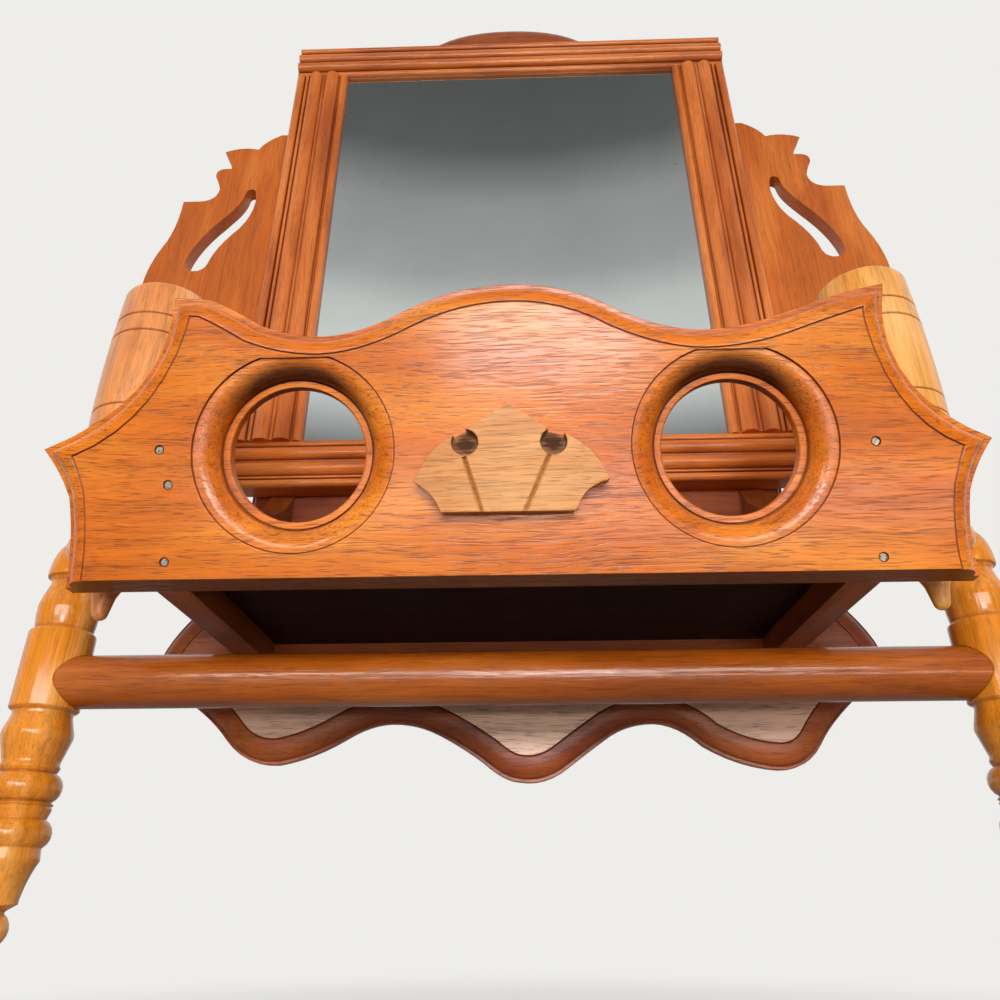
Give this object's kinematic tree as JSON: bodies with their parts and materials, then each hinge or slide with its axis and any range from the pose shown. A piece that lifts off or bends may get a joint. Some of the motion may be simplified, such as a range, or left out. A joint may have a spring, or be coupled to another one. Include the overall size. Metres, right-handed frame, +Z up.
{
  "type": "wall shaving mirror",
  "caption": "Wall-hung wooden shaving mirror with a slanted comb box, turned cups at its sides and a towel rail between turned posts.",
  "frame": {"origin": "on the wall plane, on the centre line, level with the underside of the comb box", "axes": "+X to the viewer's right, +Y into the wall, +Z up"},
  "size_m": [0.533, 0.1836, 0.6995],
  "materials": {
    "frame_wood": "glossy varnish",
    "panel_wood": "glossy varnish",
    "turned_wood": "glossy varnish",
    "backing": "bare",
    "mirror": "silvered, aged",
    "steel": "dull",
    "brass": "satin"
  },
  "bodies": {
    "rack": {"left_stile": "frame_wood", "right_stile": "frame_wood", "bottom_rail": "frame_wood", "top_rail": "frame_wood", "mirror_glass": "mirror", "mirror_backing": "backing", "backing_pins": "steel", "left_ear": "frame_wood", "right_ear": "frame_wood", "apron_board": "panel_wood", "crest_board": "panel_wood", "board_screws": "steel", "front_panel": "panel_wood", "ornament": "panel_wood", "panel_nails": "steel", "left_box_side": "panel_wood", "right_box_side": "panel_wood", "box_bottom": "panel_wood", "box_nails": "steel", "box_screws": "steel", "left_cup": "turned_wood", "right_cup": "turned_wood", "left_cup_peg": "turned_wood", "right_cup_peg": "turned_wood", "left_post": "turned_wood", "right_post": "turned_wood", "left_post_peg": "turned_wood", "right_post_peg": "turned_wood", "left_hanger": "brass", "right_hanger": "brass", "hanger_screws": "brass"},
    "rail": {"towel_rail": "turned_wood"}
  },
  "joints": [
    {"name": "rail_turn", "type": "hinge", "parent": "rack", "child": "rail", "pos_m": [0, -0.07, -0.023], "axis": [1, 0, 0], "continuous": true}
  ]
}
